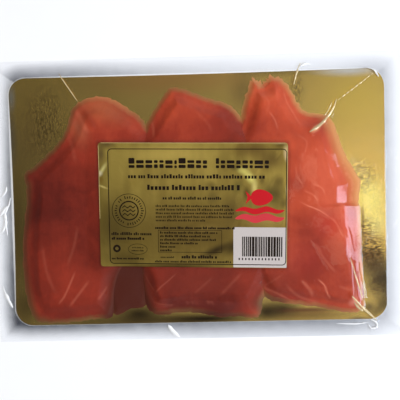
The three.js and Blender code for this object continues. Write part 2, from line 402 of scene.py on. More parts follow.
def ringed_solid(name, outline, centre, rings, top_height, underside, material):
    """A closed body over an outline: its top is rings that shrink to a centre, its underside flat."""
    centre = np.asarray(centre, float)
    count = len(outline)
    plan = np.vstack([centre + (outline - centre) * share for share in rings] + [centre[None, :]])
    top = np.column_stack([plan, top_height(plan[:, 0], plan[:, 1])])
    bottom = np.column_stack([outline, np.full(count, underside)])
    hub = len(rings) * count
    faces = []
    for ring in range(len(rings) - 1):
        outer = np.arange(count) + ring * count
        following = np.roll(outer, -1)
        faces += np.stack([outer, following, following + count, outer + count], axis=1).tolist()
    faces += fan_faces(list(range(hub - count, hub)), hub)
    lower_rim = list(range(hub + 1, hub + 1 + count))
    faces += wall_faces(list(range(count)), lower_rim)
    faces += fan_faces(lower_rim, hub + 1 + count, flipped=True)
    return make_object(name, np.vstack([top, bottom, [[*centre, underside]]]), faces, material)


def ring_shares(count, crowding):
    """Shares of the way out from the centre, closer together near the rim."""
    steps = np.arange(count) / count
    return 1.0 - steps ** crowding


# --- Materials ---


def tone(red, green, blue):
    """A screen colour, 0 to 255, as linear light."""
    linear = []
    for value in (red, green, blue):
        share = value / 255.0
        linear.append(share / 12.92 if share <= 0.04045 else ((share + 0.055) / 1.055) ** 2.4)
    return (*linear, 1.0)


class Nodes:
    """A short way to build the node tree of a material, or of the world."""

    def __init__(self, owner, output="ShaderNodeOutputMaterial"):
        self.owner = bpy.data.materials.new(owner) if isinstance(owner, str) else owner
        self.owner.use_nodes = True
        self.tree = self.owner.node_tree
        self.tree.nodes.clear()
        self.output = self.add(output)
        self.seen = self.add("ShaderNodeTexCoord").outputs
        self.place = self.seen["Object"]

    def add(self, kind, inputs=None, **settings):
        node = self.tree.nodes.new(kind)
        for key, value in settings.items():
            setattr(node, key, value)
        for key, value in (inputs or {}).items():
            self.set(node, key, value)
        return node

    def set(self, node, key, value):
        socket = node.inputs[key]
        if isinstance(value, bpy.types.NodeSocket):
            self.tree.links.new(value, socket)
        else:
            socket.default_value = value

    def math(self, operation, *values):
        return self.add("ShaderNodeMath", dict(enumerate(values)), operation=operation).outputs[0]

    def times(self, a, b):
        return self.math("MULTIPLY", a, b)

    def largest(self, values):
        total = values[0]
        for value in values[1:]:
            total = self.math("MAXIMUM", total, value)
        return total

    def ramp(self, factor, stops):
        """A colour for each stop, or a plain number for a grey."""
        node = self.add("ShaderNodeValToRGB", {"Fac": factor})
        elements = node.color_ramp.elements
        while len(elements) < len(stops):
            elements.new(0.5)
        for element, (position, colour) in zip(elements, stops):
            element.position = position
            element.color = colour if isinstance(colour, tuple) else (colour, colour, colour, 1.0)
        return node.outputs["Color"]

    def mix_colour(self, factor, a, b):
        return self.add("ShaderNodeMix", {0: factor, 6: a, 7: b}, data_type="RGBA").outputs[2]

    def mix_shader(self, factor, a, b):
        return self.add("ShaderNodeMixShader", {"Fac": factor, 1: a.outputs[0], 2: b.outputs[0]})

    def noise(self, scale, detail=2.0, roughness=0.5, distortion=0.0, place=None):
        return self.add("ShaderNodeTexNoise", {
            "Vector": self.place if place is None else place, "Scale": scale, "Detail": detail,
            "Roughness": roughness, "Distortion": distortion}).outputs["Fac"]

    def mapped(self, kind, x, y, turn, scale_x, scale_y):
        return self.add("ShaderNodeMapping", {
            "Vector": self.place, "Location": (x, y, 0.0), "Rotation": (0.0, 0.0, math.radians(turn)),
            "Scale": (scale_x, scale_y, 1.0)}, vector_type=kind).outputs["Vector"]

    def stretched(self, scale_x, scale_y, turn=0.0):
        return self.mapped("POINT", 0.0, 0.0, turn, scale_x, scale_y)

    def attribute(self, name):
        return self.add("ShaderNodeAttribute", attribute_name=name).outputs

    def facing(self, normal):
        return self.add("ShaderNodeLayerWeight", {"Blend": 0.5, "Normal": normal}).outputs["Facing"]

    def spot(self, x, y, reach_x, reach_y, turn=0.0):
        """1 at a centre, falling softly to 0 at a reach along each axis, both in millimetres."""
        own = self.mapped("TEXTURE", x * MM, y * MM, turn, reach_x * MM, reach_y * MM)
        far = self.add("ShaderNodeVectorMath", {0: own}, operation="LENGTH").outputs["Value"]
        falling = {"Value": far, "To Min": 1.0, "To Max": 0.0}
        return self.add("ShaderNodeMapRange", falling, interpolation_type="SMOOTHSTEP").outputs["Result"]

    def spots(self, table):
        """The strongest of several soft spots: centre, reach, turn and strength of each."""
        return self.largest([self.times(self.spot(*spot), strength) for *spot, strength in table])

    def painted(self, colour, table):
        """A colour with soft spots over it: centre, reach, turn, tone and strength of each."""
        for *spot, red, green, blue, strength in table:
            share = self.times(self.spot(*spot), strength)
            colour = self.mix_colour(share, colour, tone(red, green, blue))
        return colour

    def bump(self, height, strength, distance, normal=None):
        inputs = {"Height": height, "Strength": strength, "Distance": distance}
        if normal is not None:
            inputs["Normal"] = normal
        return self.add("ShaderNodeBump", inputs).outputs["Normal"]

    def finish(self, shader):
        self.set(self.output, "Surface", shader.outputs[0])
        return self.owner

    def principled(self, inputs):
        """The material, once its one shader has these inputs."""
        return self.finish(self.add("ShaderNodeBsdfPrincipled", inputs))


# Where the film lies dull on wet fish and mirrors less: centre, reach, turn and strength.
DULL_SPOTS = [(94, 26, 8, 12, 0, 0.9),
              (105.5, 5, 6, 6.5, 0, 0.8),
              (112.5, -36, 7, 16, 0, 0.35)]


def film_material():
    """Clear film after the mesh's own attribute: how much painted shadow darkens the margin beside the card.
    """
    n = Nodes("clear_film")
    ripple = n.noise(55.0, 3.0)
    crumple = n.noise(80.0, 1.5, 0.45, place=n.stretched(1.0, 2.0, -25))
    crumple = n.times(crumple, n.spot(108, -34, 16, 60))
    normal = n.bump(crumple, 0.5, 0.0008, n.bump(ripple, 0.3, 0.002))
    share = n.ramp(n.facing(normal), [(0.0, 0.012), (0.06, 0.016), (0.2, 0.036), (0.5, 0.05),
                                      (0.8, 0.22), (1.0, 0.9)])
    share = n.times(share, n.math("SUBTRACT", 1.0, n.spots(DULL_SPOTS)))
    # Painted shadow beside the card: where the attribute says, the film's colour turns towards near black,
    # in patches.
    patches = n.math("MULTIPLY_ADD", n.noise(120.0), 0.4, 0.8)
    margin_shadow_share = n.times(n.attribute("margin_shadow")["Fac"], patches)
    see_through = n.mix_colour(margin_shadow_share, (0.985, 0.987, 0.99, 1.0), (0.0, 0.01, 0.04, 1.0))
    clear = n.add("ShaderNodeBsdfTransparent", {"Color": see_through})
    gloss = n.add("ShaderNodeBsdfAnisotropic", {
        "Color": (1.0, 1.0, 1.0, 1.0), "Roughness": 0.07, "Normal": normal})
    return n.finish(n.mix_shader(share, clear, gloss))


def fold_material(name, milk_and_glint, milk_and_glint_tone, gloss_tone):
    """Film pinched double: it mirrors more than a single layer, and looks a little milky; its milky white is
    also painted highlight for the folds' glints.
    """
    n = Nodes(name)
    normal = n.bump(n.noise(420.0), 0.5, 0.0004)
    share = n.ramp(n.facing(normal), [(0.0, 0.1), (0.5, 0.16), (1.0, 0.4)])
    clear = n.add("ShaderNodeBsdfTransparent", {"Color": (0.97, 0.97, 0.97, 1.0)})
    gloss = n.add("ShaderNodeBsdfAnisotropic", {
        "Color": gloss_tone, "Roughness": 0.12, "Normal": normal})
    milk_and_glint_shader = n.add("ShaderNodeBsdfDiffuse", {"Color": milk_and_glint_tone})
    return n.finish(n.mix_shader(share, n.mix_shader(milk_and_glint, clear, milk_and_glint_shader), gloss))


# Where the card's emboss and its crazed foil show most: centre, reach, turn and strength.
EMBOSSED_SPOTS = [(-108, 56, 30, 46, 0, 0.7),
                  (73, 76, 8, 16, 0, 0.8)]
CRAZED_SPOTS = [(123, -42, 20, 18, 0, 1.3),
                (118, -25, 16, 12, 0, 0.9),
                (118, 15, 15, 18, 30, 0.6),
                (128, -66, 9, 11, 0, 1.3)]
# Painted reflections, highlights and shadows on the foil, where it looks lighter or darker: centre, reach,
# turn, tone and strength.
CARD_PAINTED_LIGHT = rows("""
    -20 86  90 16  0  244 180 104  0.6
    60 92  52 9  0  78 78 58  0.6
    -132 -20  22 90  0  128 108 62  0.7
    -127 -76  14 18  0  124 98 54  0.6
    -40 -88  100 8  0  112 88 54  0.7
    4 -87.5  50 5  0  50 34 20  0.95
    -44 -83  24 10  0  70 54 32  0.9
    60 -82  20 10  0  62 52 34  0.9
    80 -86  44 6  0  150 110 60  0.7
    35 76  16 22  0  150 116 70  0.5
    116 70  50 40  0  255 220 104  0.7
    -116 40  30 48  0  170 138 82  0.4
    -134 46  6 34  0  168 158 136  0.7
    110 89  36 6.5  0  255 250 236  1
    -133 76  5 14  0  232 228 208  0.8
    78 -82.5  36 3  0  140 84 56  0.8
    114 -90  11 3  0  108 94 76  0.7
    122 -31  13 9  0  178 136 86  0.6
    134 -70  5 11  0  88 76 62  0.7
    122 -81.5  7 6  0  124 100 64  0.8
    128 -84  12 6  40  120 98 60  0.7
    48 -83  16 10  0  66 50 32  0.9
    133 -60  24 24  -30  86 72 46  1
    126 -51  18 13  0  96 76 50  0.85
    122 -43  15 9  0  130 96 58  0.8
    128 -22  12 14  0  255 236 150  0.7
    114 17  10 15  30  255 220 140  0.7
    133 -79  9 12  40  92 74 46  0.8
    124 -4  19 30  10  255 238 140  0.9
    115.5 -12  5 6  0  200 166 116  0.8
    118.3 -18  1.6 15  0  96 64 44  0.6""")


def card_material():
    """Gold foil on board, with painted reflections and shadows: finely embossed, and crazed into short
    dashes near the right side.
    """
    n = Nodes("gold_card")
    mottle = n.noise(28.0)
    gold = n.mix_colour(mottle, tone(230, 194, 104), tone(246, 208, 116))
    # The foil's painted reflections, highlights and shadows.
    gold = n.painted(gold, CARD_PAINTED_LIGHT)
    shown = n.spots(EMBOSSED_SPOTS)
    streaks = n.noise(900.0, 2.0, 0.6, 0.7, place=n.stretched(1.0, 0.38, 8))
    relief = n.ramp(streaks, [(0.38, 0.0), (0.62, 1.0)])
    # The emboss streaks darken the foil's colour in their hollows: painted shade.
    darker = n.times(n.math("SUBTRACT", 1.0, relief), n.times(shown, 0.8))
    gold = n.mix_colour(darker, gold, tone(104, 76, 38))
    dashes = n.noise(820.0, 0.0, 0.5, 0.5, place=n.stretched(0.45, 1.4, 14))
    dashes = n.ramp(dashes, [(0.47, 1.0), (0.53, 0.0)])
    dashes = n.times(dashes, n.math("MINIMUM", n.spots(CRAZED_SPOTS), 1.0))
    gold = n.mix_colour(n.times(dashes, 0.8), gold, tone(96, 62, 32))
    emboss = n.noise(1300.0, 2.0, 0.6)
    tilt = n.math("MULTIPLY_ADD", n.times(relief, shown), 0.4, n.times(emboss, 0.2))
    tilt = n.math("SUBTRACT", tilt, dashes)
    return n.principled({"Base Color": gold, "Metallic": 0.95, "Roughness": 0.27,
                         "Normal": n.bump(tilt, 0.6, 0.0004)})


def card_back_material():
    n = Nodes("card_board")
    fibre = n.noise(400.0, 4.0, 0.6)
    board = n.mix_colour(fibre, tone(222, 218, 208), tone(236, 233, 226))
    return n.principled({"Base Color": board, "Roughness": 0.7, "Normal": n.bump(fibre, 0.1, 0.0003)})


# Tints of the flesh: its own tones, painted shade in gaps and folds, and painted highlights where the film's
# folds catch the light: centre, reach, turn, tone and strength.
FISH_TONES_SHADE_AND_GLINTS = rows("""
    47 -76  15 11  15  66 56 38  0.75
    52 -62  24 16  0  120 52 38  0.4
    0 -60  52 24  0  112 46 34  0.5
    -66 66  32 16  -20  186 108 66  0.45
    -84 52  12 22  20  172 96 64  0.45
    93 -20  20 16  -25  186 54 38  0.55
    78 -44  22 20  0  150 46 42  0.35
    -75 58  4 15  37  134 48 26  0.7
    58 -75.5  11 5  -10  88 42 30  0.7
    110 -76  6 5  40  240 160 136  0.5
    85 47.5  7 3  38  250 190 140  0.6
    -84 53  4.5 14  37  164 88 62  0.5""")


# Painted light and shade on the thin rims, where the card seen through them looks lighter or darker: centre,
# reach, turn, tone and strength.
THIN_RIM_LIGHT_AND_SHADE = rows("""
    76 -84  74 14  0  130 76 50  1
    117 -40  7 16  0  172 106 64  0.9
    119 -70  6 12  0  134 84 54  0.9
    10 -84  60 10  0  80 46 31  1
    -64 70  34 16  -20  186 118 74  1
    -124 -30  14 80  0  104 62 40  1
    46 84  26 16  0  196 132 84  1""")


def fish_material():
    """Flesh after the mesh's own attribute: red is how thin, green how bright, partly painted light,
    blue the pale lines of fatty tissue and of painted wrinkle glints, and alpha how much painted shade."""
    n = Nodes("salmon_flesh")
    marks = n.attribute("flesh")
    thin, level, line = n.add("ShaderNodeSeparateColor", {"Color": marks["Color"]}).outputs
    cloud = n.noise(42.0, 4.0, 0.5, 0.5)
    mottle = n.noise(150.0, 3.0, 0.55, 0.8)
    grain = n.noise(520.0, 3.0, 0.6, place=n.stretched(1.0, 0.22, 35))
    for noise, amount in ((cloud, 0.34), (mottle, 0.13), (grain, 0.08)):
        level = n.math("MULTIPLY_ADD", n.math("SUBTRACT", noise, 0.5), amount, level)
    flesh = n.ramp(level, [(0.0, tone(58, 20, 14)), (0.25, tone(98, 32, 23)), (0.5, tone(146, 51, 34)),
                           (0.75, tone(192, 78, 48)), (1.0, tone(222, 106, 72))])
    flesh = n.mix_colour(line, flesh, tone(232, 138, 108))
    # The card seen through the thin rims is painted darker on the left and lighter on the right, as its foil
    # is lit: painted light.
    along_x = n.add("ShaderNodeSeparateXYZ", {"Vector": n.place}).outputs["X"]
    along_x = n.math("MULTIPLY_ADD", along_x, 1.0 / (CARD_SIZE[0] * MM), 0.5)
    rim = n.ramp(along_x, [(0.06, tone(104, 78, 46)), (0.25, tone(124, 88, 50)),
                           (0.5, tone(148, 104, 60)), (0.92, tone(214, 150, 92))])
    flesh = n.mix_colour(thin, flesh, n.painted(rim, THIN_RIM_LIGHT_AND_SHADE))
    flesh = n.mix_colour(marks["Alpha"], flesh, tone(78, 34, 24))
    # The flesh's tints add painted shade and painted highlights.
    return n.principled({
        "Base Color": n.painted(flesh, FISH_TONES_SHADE_AND_GLINTS), "Roughness": 0.5,
        "Subsurface Weight": 0.15, "Subsurface Radius": (0.004, 0.0015, 0.0008),
        "Subsurface Scale": 0.5, "Specular IOR Level": 0.1,
        "Normal": n.bump(cloud, 0.3, 0.001, n.bump(grain, 0.1, 0.0003))})


# Where the label's foil mirrors something lighter or darker, on the pack's own plan: centre,
# reach, turn, tone and strength.
LABEL_TINTS = rows("""
    0 -24  110 44  0  112 88 38  0.85
    -60 -18  22 40  0  84 68 28  0.75
    -20 32  46 12  0  228 196 98  0.75
    24 -8  9 17  0  88 68 32  0.6
    27 -34  15 7.5  29  50 36 20  0.9
    12.5 -37  16 4.8  22  50 36 20  0.85
    8 -21  16 5  0  164 136 66  0.6
    -22 -49  52 5  0  52 34 14  0.95
    -63 40  11 5  0  112 88 50  0.8
    40 34  22 10  0  112 82 38  0.75
    53 26  16 12  0  106 80 38  0.75
    33 18.6  7.5 4.2  -24  236 222 118  0.9
    27 21  4.5 4  0  84 72 34  0.6
    46 12  3.6 6  0  84 66 28  0.6
    57.5 11  7 7  0  88 68 30  0.6
    61 -5  4 6  0  84 64 30  0.6
    10 9  6 5  0  88 70 32  0.5
    37.8 13.5  8.5 4.4  -50  255 240 130  1
    40.5 7  3.2 7.5  -4  244 222 130  0.95
    29 8  6 8  -20  96 88 36  0.6
    54 2  13 14  0  84 70 32  0.9
    35 3  4 8  0  84 68 28  0.8
    60 37  8 7  0  96 74 30  0.8
    -52 -41  22 9  0  80 62 24  0.6
    8 -12  40 9  0  150 118 52  0.3
    11 1  6 10  0  92 76 38  0.5
    48 -17  20 7  0  190 158 84  0.7
    63.5 4  1.6 7  0  255 236 170  0.8
    -66.5 22  8 2.2  58  255 240 150  1
    -68.5 19.5  3 3  0  255 236 190  1
    -66.5 10  6 1.2  -22  244 220 130  0.9
    -67 33  4 9  0  120 96 56  0.8
    -67.5 15  3 4  0  150 112 40  0.6
    60 38  10 2  0  240 206 150  0.5
    64.2 29  3.6 9  10  250 222 170  0.9""")


def label_material():
    """Gold foil paper with soft streaks, whose tints stand for what it mirrors."""
    n = Nodes("gold_foil_paper")
    cloud = n.noise(60.0, 3.0, 0.55, 0.6)
    streaks = n.noise(110.0, place=n.stretched(1.0, 0.18))
    gold = n.mix_colour(cloud, tone(168, 142, 62), tone(200, 172, 84))
    gold = n.mix_colour(n.ramp(streaks, [(0.42, 0.0), (0.7, 0.4)]), gold, tone(120, 98, 42))
    gold = n.painted(gold, LABEL_TINTS)
    fibre = n.noise(900.0)
    normal = n.bump(fibre, 0.08, 0.0002, n.bump(cloud, 0.35, 0.002))
    return n.principled({"Base Color": gold, "Metallic": 0.7, "Roughness": 0.3, "Normal": normal})


def ink_material(name, colour):
    n = Nodes(name)
    darker = tuple(0.82 * value for value in colour[:3]) + (1.0,)
    ink = n.mix_colour(n.noise(1500.0), darker, colour)
    return n.principled({"Base Color": ink, "Roughness": 0.55, "Specular IOR Level": 0.15})


def floor_material():
    n = Nodes("pale_floor")
    grain = n.noise(30.0)
    pale = n.mix_colour(grain, (0.9, 0.9, 0.905, 1.0), (0.93, 0.93, 0.935, 1.0))
    return n.principled({"Base Color": pale, "Roughness": 0.75})


# --- The card ---

CARD_CORNER_STEPS = 10
CARD_SIDE_STEPS = 24
# How far the middle of the card's left and upper sides bow in.
CARD_BOW = (1.3, 0.9)
CARD_BEVEL = 0.18


def card_outline(inset=0.0):
    """Points round the card's rim, counterclockwise, drawn in by an inset."""
    half = np.array(CARD_SIZE) / 2 - inset
    shares = np.linspace(0, 1, CARD_SIDE_STEPS, endpoint=False)[:, None]
    plan = np.vstack([np.vstack([arc[:-1], mix(arc[-1], following[0], shares)]) for arc, following
                      in corner_arcs(-half, half, CARD_CORNER - inset, CARD_CORNER_STEPS)])
    across, up = (plan / half).T
    shift_x = CARD_BOW[0] * np.clip(-across, 0, 1) ** 2 * (1 - np.clip(np.abs(up), 0, 1) ** 2)
    shift_y = CARD_BOW[1] * np.clip(up, 0, 1) ** 2 * (1 - np.clip(np.abs(across), 0, 1) ** 2)
    return plan + np.column_stack([shift_x, -shift_y])


def make_card():
    """A flat board with bevelled rims, gold on its face and plain on the other sides."""
    layers = [
        (card_outline(CARD_BEVEL), CARD_FACE),
        (card_outline(), CARD_FACE - CARD_BEVEL),
        (card_outline(), CARD_UNDERSIDE + CARD_BEVEL),
        (card_outline(CARD_BEVEL), CARD_UNDERSIDE),
    ]
    count = len(layers[0][0])
    vertices = np.vstack([np.column_stack([plan, np.full(count, height)]) for plan, height in layers])
    rims = [list(range(layer * count, (layer + 1) * count)) for layer in range(len(layers))]
    faces = [rims[0]]
    for upper, lower in zip(rims, rims[1:]):
        faces += wall_faces(upper, lower)
    faces.append(rims[-1][::-1])
    card = make_object("card", vertices, faces, card_material(), card_back_material(), smooth=False)
    for polygon in card.data.polygons:
        polygon.material_index = 0 if polygon.normal.z > 0.5 else 1


# --- The fish ---

# The upper and the lower slices: points for each knot of the outline, how far it is frayed, how
# many rings the face has, and how much they crowd near the rim.
UPPER_MESH = {"steps": 18, "fray": 0.5, "rings": 96, "crowding": 1.15}
LOWER_MESH = {"steps": 10, "fray": 0.45, "rings": 22, "crowding": 1.8}
SLICE_UNDERSIDE = CARD_FACE + 0.05
RIM_THICKNESS = 0.05
LOWER_RISE_DEPTH = 4.5
UPPER_RISE_DEPTH = {"left": 11.0, "middle": 9.0, "right": 7.0}
UPPER_BEDDING = 0.08
UPPER_BURIED = 1.0
SOFT_EDGE = (-0.5, 5.0)
EDGE_STEP = 2.0
PALE_LINE_STEP = 1.5
# Where each pale line fades, as shares of its length from its middle.
PALE_LINE_FADE = (0.3, 0.56)

# How far each slice stays under the film. Where two portions overlap, the nearer one covers.
SLICE_GAPS = {"left": 0.34, "middle": 0.22, "right": 0.1, "underlay": 0.4}

# The upper slice of each portion stops short of the lower one.
UPPER_SLICES = {
    "left": points("""
        -83 66  -76 69.5  -68 70.5  -60 69.5  -53 66  -46 61  -39 54  -33 42  -31 15  -36 -15
        -49 -38  -58 -52  -61.5 -62  -64 -76  -69 -83  -86 -84.5  -99 -85.5  -109 -85  -116 -82.5
        -120.5 -77  -123 -69  -124.5 -56  -125 -38  -123.5 -18  -121 0  -121 12  -121.5 18  -115 24
        -107 31  -99 39  -93 48  -89 57"""),
    "middle": points("""
        -18 73  -14 75.5  -5 74  5 70  15 66.5  24 62  31 54  40 43  47 20  50 -15  52 -45  48 -60
        42 -70  36 -74.5  26 -76.5  10 -75  -5 -74.5  -18 -77  -30 -78  -37 -70  -40 -58  -41.5 -44
        -43 -15  -44 15  -40 38  -33.5 52  -28 61  -23 68"""),
    "right": points("""
        37 60  39 68  42 76  47 78  53 81.5  60 81  64.5 76  68 69  72 62  78 57  86 55  93 53
        97 46  99.5 35  102 22  105 9  106.5 -4  108.5 -20  110.5 -38  113 -56  116 -71  114 -80
        104 -81.5  86 -78  72 -76  59 -74  50 -70  43 -60  38 -42  34 -10  31 20  32 45"""),
}
SLICE_CENTRES = {"left": (-80, -8), "middle": (2, -5), "right": (76, -5), "underlay": (-50, -55)}

# Brightness of the flesh from 0 to 1, partly its own tone and partly painted light, and the soft spots that
# change it: place, radius, change.
# The left portion is painted darker and the right one lighter, as the light falls from the right, and the
# underlay is painted in shade.
BASE_TONE_AND_LIGHT = {"left": 0.34, "middle": 0.45, "right": 0.66, "underlay": 0.08}
TONE_AND_LIGHT_SPOTS = {
    "left": rows("""
        -68 62 36 0.2
        -84 54 16 0.1
        -112 -6 30 -0.14
        -42 52 11 0.16
        -88 -62 30 0.13
        -72 -40 20 -0.06"""),
    "middle": rows("""
        -4 68 30 0.2
        26 50 16 -0.06
        -28 -62 18 -0.1
        14 -60 26 -0.12
        -12 -84 16 -0.26
        12 -84 16 -0.24
        39 -84 8 0.16"""),
    "right": rows("""
        54 72 22 0.12
        72 62 14 0.1
        98 32 30 0.1
        98 4 26 0.16
        104 -26 18 0.16
        71 9 9 -0.16
        66 37 8 0.12
        82 -22 20 -0.16
        90 50 12 -0.14
        80 -46 26 -0.08
        72 -68 24 -0.12
        48 -66 20 -0.18
        42 50 18 -0.12
        98 -76 18 -0.04"""),
}

# Edges in the shade of a neighbour: half width, strength and path.
SHADED_EDGES = {
    "left": paths("""
        15 1  -43 -38  -52 -48  -58 -60  -60 -72  -64 -86"""),
    "middle": paths("""
        13 1  -44 -40  -43.5 -58  -40 -72  -36 -84
        5 0.8  -36 -82  -20 -85  4 -86  30 -88"""),
    "right": paths("""
        6 0.35  34 -46  38 -60  46 -73  58 -79"""),
    # The underlay lies in the gap between portions and is painted in shade all over.
    "underlay": paths("""
        60 1  -50 -30  -50 -80"""),
}

# The shade along the label's edge, on the fish.
LABEL_SHADE = {"reach": 3.2, "strength": 0.4}

# Edges torn raggedly: place, radius and how much further they are frayed.
TORN_EDGES = {"right": [(50, 84, 17.0, 1.5), (72, 68, 10.0, 0.5)]}

# Edges thin enough for the card to show through: half width, strength and path.
THIN_EDGES = paths("""
    4 0.35  -66 75  -54 70  -47 65  -40 60  -36 54
    5 0.5  -21 77  -17 80  -9 79  0 75.5  10 71.5  20 68.5  27 64.5
    6 0.6  37 74  41 85  47 82  53 86  60 85  68 77
    3.5 0.4  70 73  76 62  86 59  96 57
    12.5 1  97 56  101 47  103.5 40  107 29  113 19  117 9  116.5 -2
    4 0.6  115.5 -3  117.5 -16  118 -38  119 -58
    8.5 0.9  -112 -90  -121 -86  -126 -72  -129 -50  -129 -30  -127 -10  -125 12""")

# Pale lines in the flesh: fatty tissue, and painted highlights where wrinkles of the film over it catch the
# light. Half width, strength and path.
FAT_AND_GLINT_LINES = {
    "left": paths("""
        1.1 0.22  -88 -49  -93 -60  -97 -68  -101 -73
        1.5 0.17  -79 -57  -86 -66  -94 -76
        1.3 0.17  -66 -61  -70 -67  -73 -71
        1.9 0.07  -86 -18  -89 -32  -94 -46
        2.1 0.07  -112 -30  -109 -50  -103 -66
        2.6 0.18  -86 66  -81 57  -76 48
        2.4 0.07  -93 50  -88 38  -86 28"""),
    "middle": paths("""
        0.8 0.19  -15 -52  -22 -58  -27 -62  -31 -66
        0.8 0.13  -32 -66  -36 -60  -39 -54
        1.3 0.13  10 -56  3 -62  -4 -68
        1.8 0.12  30 -54  23 -61  14 -70
        0.8 0.12  -37 -68  -33 -74  -20 -76.5  -5 -75  12 -75  26 -76
        1.6 0.14  -31 56  -30 50  -30 44
        1.8 0.06  0 62  8 54  12 46"""),
    "right": paths("""
        1.4 0.22  45 -65  55 -69  67 -76
        1.2 0.13  45 -65  37 -61  28 -57
        1.1 0.18  45 -62  44.5 -70  43 -78
        1 0.12  45 -65  52 -60  60 -55
        0.8 0.38  81 9  85.5 7  89 4.5  90 1
        0.8 0.34  75 4  82 0.5  85 -4
        0.9 0.5  71 -3  78 -7  83 -9  88.5 -12  93.5 -16  97 -18.5  99.5 -23.5  101.5 -28  106 -31
        0.8 0.5  102 -13  104.5 -18  108 -21
        0.9 0.3  100 -2  103 -7  107 -11
        1.6 0.2  79 -32  85 -37  87 -42  92 -49  97 -55
        0.9 0.55  84 -59  88.5 -63.5  90 -68  93 -74
        2 0.25  72 -59  78 -66  80.5 -71
        1.8 0.14  61 -62  68.5 -70  76 -74  87 -77
        1.6 0.14  98 -64  106 -67  112 -66
        1.2 0.2  63 76  65 67  70 58  74 50
        1.2 0.22  52 60  56 54  58 47
        1.2 0.16  72 43  78 38  76 28
        1 0.2  70 22  71 14  76 6
        1.3 0.1  47 74  52 66  50 58"""),
}


def slice_level(name):
    """Height where the upper slice of a portion lies on the lower one."""
    return CARD_FILM_HEIGHT + PORTIONS[name]["edge"] - SLICE_GAPS[name]


def lower_top(name):
    """Height of a lower slice's face, which the upper slice lies on."""
    rim = CARD_FILM_HEIGHT + RIM_THICKNESS

    def height(x, y):
        inside = depth_inside(x, y, OUTLINES[name])
        full = mix(rim, slice_level(name), ease(0.0, LOWER_RISE_DEPTH, inside))
        return np.minimum(full, film_level(x, y) - SLICE_GAPS[name])

    return height


def upper_top(name, outline):
    """Height of an upper slice's face, which grows out of the lower slice's face at its rim."""
    bed = lower_top(name)

    def height(x, y):
        rim = bed(x, y) - UPPER_BEDDING
        under_film = np.maximum(film_level(x, y) - SLICE_GAPS[name], rim)
        return mix(rim, under_film, ease(0.0, UPPER_RISE_DEPTH[name], depth_inside(x, y, outline)))

    return height


def frayed(outline, reach, rng, torn=()):
    """An outline made a little ragged, by waves of several lengths, and more so where it is torn."""
    turn = np.linspace(0, 2 * math.pi, len(outline), endpoint=False)
    ripple = sum(np.sin(count * turn + rng.uniform(0, 2 * math.pi)) / math.sqrt(share)
                 for share, count in enumerate((37, 59, 83, 131), 1))
    local = np.full(len(outline), reach)
    for x, y, radius, extra in torn:
        local += extra * bell(*outline.T, x, y, radius / 2)
    return outline - inward(outline) * (local * ripple / 2.0)[:, None]


def strongest_mark(x, y, edges):
    """The strongest of several marks along paths: half width, strength and path of each."""
    marks = [strength * nearness(x, y, open_curve(path, EDGE_STEP), half_width)
             for half_width, strength, path in edges]
    return np.max([np.zeros(x.shape), *marks], axis=0)


def mark_flesh(piece, name, soft_outline=None):
    """Writes into the mesh, for its material, how thin the flesh is, how bright with painted light, its pale
    lines and painted glints, and its painted shade.
    """
    x, y = plan_of(piece)
    thin = strongest_mark(x, y, THIN_EDGES)
    if soft_outline is not None:
        thin = np.maximum(thin, 1.0 - ease(*SOFT_EDGE, depth_inside(x, y, soft_outline)))
    bright = np.full(x.shape, BASE_TONE_AND_LIGHT[name])
    for spot_x, spot_y, radius, change in TONE_AND_LIGHT_SPOTS.get(name, []):
        bright += change * bell(x, y, spot_x, spot_y, radius / 1.6)
    pale_lines = np.zeros(x.shape)
    for half_width, strength, path in FAT_AND_GLINT_LINES.get(name, []):
        middle, length = path.mean(axis=0), math.dist(path[0], path[-1])
        start, end = (share * length for share in PALE_LINE_FADE)
        faded = 1.0 - ease(start, end, np.hypot(x - middle[0], y - middle[1]))
        line = nearness(x, y, open_curve(path, PALE_LINE_STEP), half_width)
        pale_lines = np.maximum(pale_lines, strength * line * faded)
    beside_label = np.abs(depth_inside(x, y, LABEL_OUTLINE))
    label_shade = LABEL_SHADE["strength"] * (1.0 - ease(0.0, LABEL_SHADE["reach"], beside_label))
    shade = np.maximum(strongest_mark(x, y, SHADED_EDGES[name]), label_shade)
    values = np.column_stack([thin, np.clip(bright, 0, 1), pale_lines, shade])
    attribute = piece.data.attributes.new("flesh", "FLOAT_COLOR", "POINT")
    attribute.data.foreach_set("color", values.astype(np.float32).ravel())


def make_slice(name, level, outline, mesh, top_height, underside, flesh):
    rings = ring_shares(mesh["rings"], mesh["crowding"])
    piece = ringed_solid(f"slice_{name}_{level}", outline, SLICE_CENTRES[name], rings, top_height,
                         underside, flesh)
    return piece


def make_slices():
    """Two slices for each portion, and the one slice between the left and middle portions."""
    flesh = fish_material()
    rng = np.random.default_rng(FISH_SEED)
    for name, portion in PORTIONS.items():
        outline = closed_curve(portion["outline"], LOWER_MESH["steps"])
        outline = frayed(outline, LOWER_MESH["fray"], rng, TORN_EDGES.get(name, ()))
        lower = make_slice(name, "lower", outline, LOWER_MESH, lower_top(name), SLICE_UNDERSIDE, flesh)
        mark_flesh(lower, name, outline)
        if name in UPPER_SLICES:
            outline = closed_curve(UPPER_SLICES[name], UPPER_MESH["steps"])
            outline = frayed(outline, UPPER_MESH["fray"], rng)
            upper = make_slice(name, "upper", outline, UPPER_MESH, upper_top(name, outline),
                               slice_level(name) - UPPER_BURIED, flesh)
            mark_flesh(upper, name)


# --- The film ---

FILM_STEP = 0.82
FILM_RIM_HEIGHT = 0.3
FILM_UNDERSIDE = 0.08
SEAL_EDGE = 7.0
